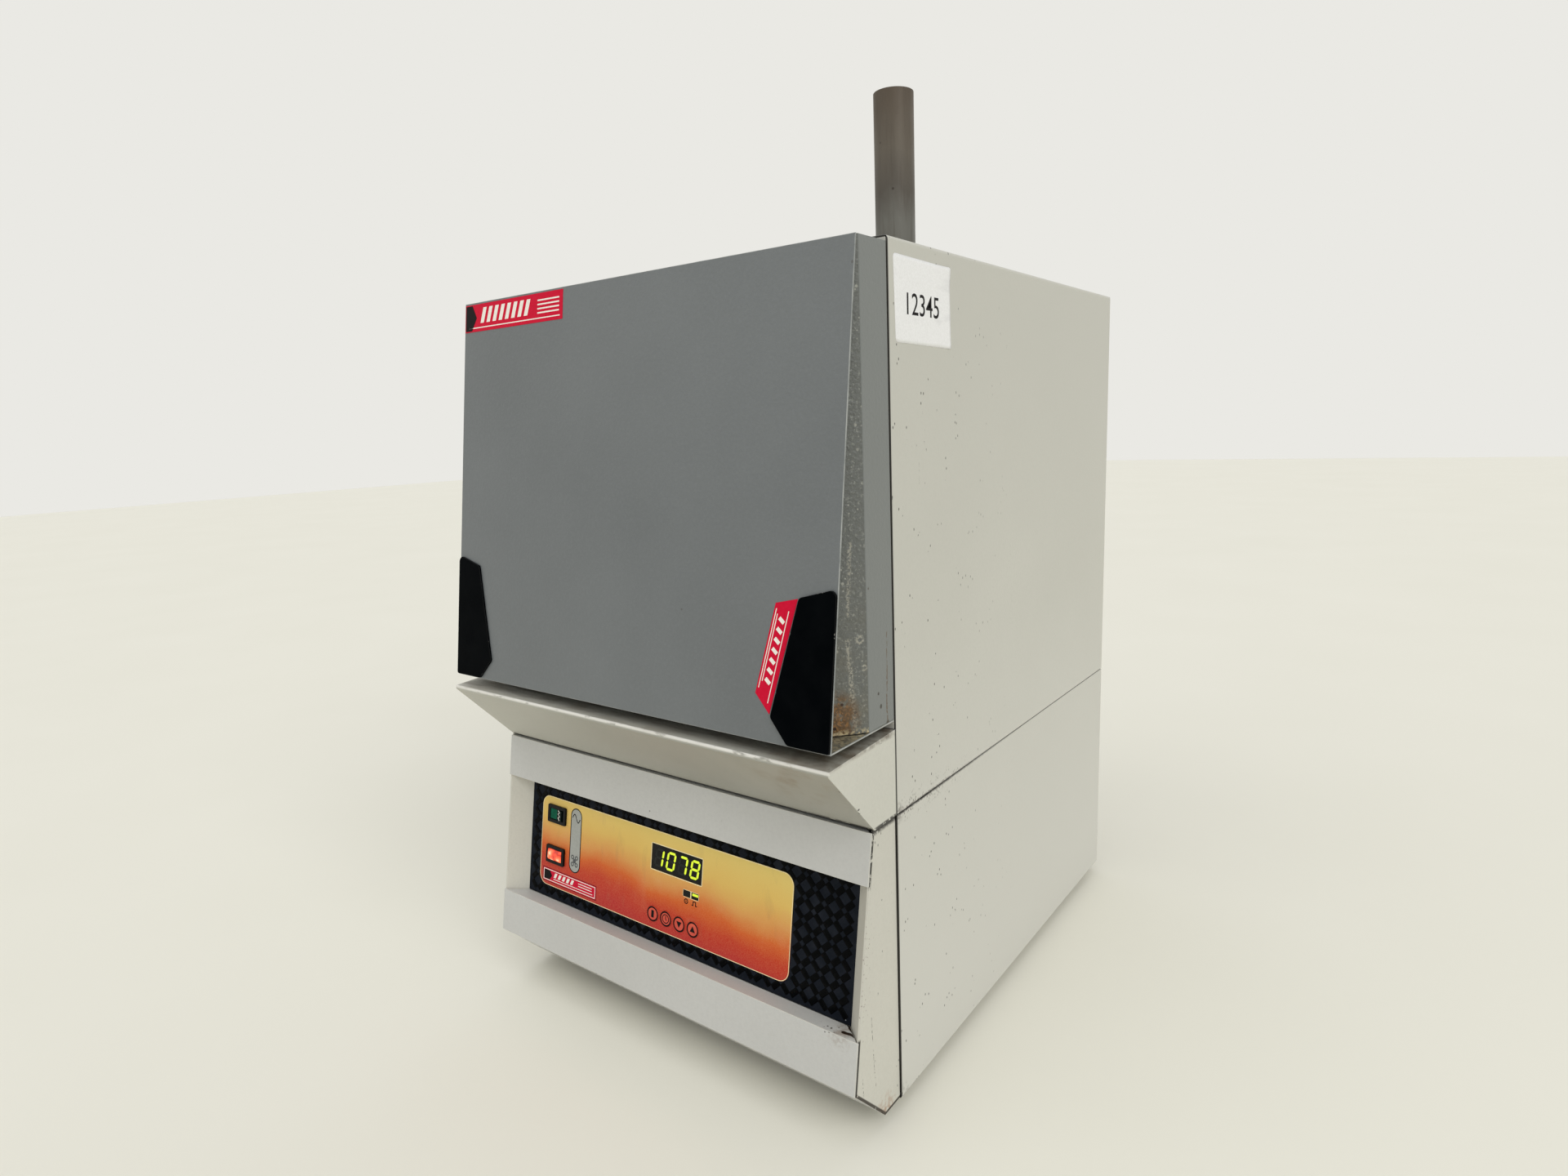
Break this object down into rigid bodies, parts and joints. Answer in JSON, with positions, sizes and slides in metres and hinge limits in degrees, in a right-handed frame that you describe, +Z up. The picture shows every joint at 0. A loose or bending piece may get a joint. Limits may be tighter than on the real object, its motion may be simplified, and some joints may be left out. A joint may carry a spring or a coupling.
{
  "type": "ashing furnace",
  "caption": "Bench ashing furnace with a lift-up door on parallel arms, a sloping control console and a rear chimney.",
  "frame": {"origin": "middle of the footprint, on the surface that the feet stand on", "axes": "+Z up, the door towards -Y, +X to the right of someone facing the door"},
  "size_m": [0.375, 0.516, 0.7976],
  "materials": {
    "casing_paint": "fine satin texture",
    "console_paint": "fine satin texture",
    "door_paint": "orange-peel texture",
    "bare_steel": "brushed",
    "weight_iron": "as cast",
    "heat_sink": "extruded",
    "chimney_steel": "heat-stained satin",
    "foot_rubber": "matt",
    "black_plastic": "matt",
    "panel_black": "satin with gloss figures",
    "label_print": "printed film",
    "window": "gloss",
    "key_print": "printed film",
    "switch_green": "gloss",
    "lamp_orange": "faceted gloss",
    "fibre_board": "matt fibre",
    "ceramic": "matt fired",
    "coil_wire": "oxidised",
    "zinc_screw": "zinc",
    "module_plastic": "matt",
    "gland_plastic": "matt"
  },
  "bodies": {
    "furnace": {"lower_casing": "casing_paint", "deck_plate": "bare_steel", "upper_casing": "casing_paint", "front_mask": "casing_paint", "upper_rear_panel": "casing_paint", "lower_rear_panel": "casing_paint", "mains_gland": "gland_plastic", "feet": "foot_rubber", "rear_screws": "zinc_screw", "ledge": "console_paint", "console_cheek_left": "console_paint", "console_cheek_right": "console_paint", "console_undercut": "console_paint", "console_upper_band": "console_paint", "console_lower_band": "console_paint", "control_panel": "bare_steel", "panel_overlay": "panel_black", "panel_label": "label_print", "display_windows": "window", "controller_module": "module_plastic", "rocker_housing": "black_plastic", "heat_lamp": "lamp_orange", "throat_board": "fibre_board", "roof_insulation": "fibre_board", "floor_insulation": "fibre_board", "hearth_tile": "ceramic", "side_insulation": "fibre_board", "element_plates": "ceramic", "heating_coils": "coil_wire", "rear_insulation": "fibre_board", "thermocouple": "ceramic", "inner_case": "bare_steel", "chimney_tube": "chimney_steel", "flue_tube": "ceramic", "chimney_collar": "bare_steel", "power_unit": "heat_sink", "terminal_block": "module_plastic", "pivot_plate_left": "bare_steel", "pivot_plate_right": "bare_steel"},
    "door": {"door_pan": "door_paint", "door_skin": "door_paint", "door_base": "door_paint", "door_back": "bare_steel", "door_insulation": "fibre_board", "door_grip_left": "black_plastic", "door_grip_right": "black_plastic", "door_hinge_left": "bare_steel", "door_hinge_right": "bare_steel"},
    "lower_arms": {"lower_arm_left": "bare_steel", "lower_arm_right": "bare_steel", "counterweight_left": "weight_iron", "counterweight_right": "weight_iron"},
    "upper_arms": {"upper_arm_left": "bare_steel", "upper_arm_right": "bare_steel"},
    "rocker": {"rocker_paddle": "switch_green"},
    "key_program": {"key_program": "key_print"},
    "key_timer": {"key_timer": "key_print"},
    "key_down": {"key_down": "key_print"},
    "key_up": {"key_up": "key_print"}
  },
  "joints": [
    {"name": "door_lift", "type": "hinge", "parent": "furnace", "child": "lower_arms", "pos_m": [0, -0.09663, 0.43311], "axis": [-1, 0, 0], "range_deg": [0, 88]},
    {"name": "upper_arm_pivot", "type": "hinge", "parent": "furnace", "child": "upper_arms", "pos_m": [0, -0.09663, 0.49311], "axis": [-1, 0, 0], "range_deg": [0, 88]},
    {"name": "door_level", "type": "hinge", "parent": "lower_arms", "child": "door", "pos_m": [0, -0.19305, 0.3182], "axis": [1, 0, 0], "range_deg": [0, 88]},
    {"name": "rocker_tilt", "type": "hinge", "parent": "furnace", "child": "rocker", "pos_m": [-0.1366, -0.20141, 0.15733], "axis": [0, 0.1617, 0.9868], "range_deg": [0, 10]},
    {"name": "key_program_press", "type": "slide", "parent": "furnace", "child": "key_program", "axis": [0, 0.9868, -0.1617], "range_m": [0, 0.0005], "stiffness_N_per_m": 800},
    {"name": "key_timer_press", "type": "slide", "parent": "furnace", "child": "key_timer", "axis": [0, 0.9868, -0.1617], "range_m": [0, 0.0005], "stiffness_N_per_m": 800},
    {"name": "key_down_press", "type": "slide", "parent": "furnace", "child": "key_down", "axis": [0, 0.9868, -0.1617], "range_m": [0, 0.0005], "stiffness_N_per_m": 800},
    {"name": "key_up_press", "type": "slide", "parent": "furnace", "child": "key_up", "axis": [0, 0.9868, -0.1617], "range_m": [0, 0.0005], "stiffness_N_per_m": 800}
  ],
  "couplings": [
    {"joint": "upper_arm_pivot", "follows": "door_lift", "ratio": 1},
    {"joint": "door_level", "follows": "door_lift", "ratio": 1}
  ]
}
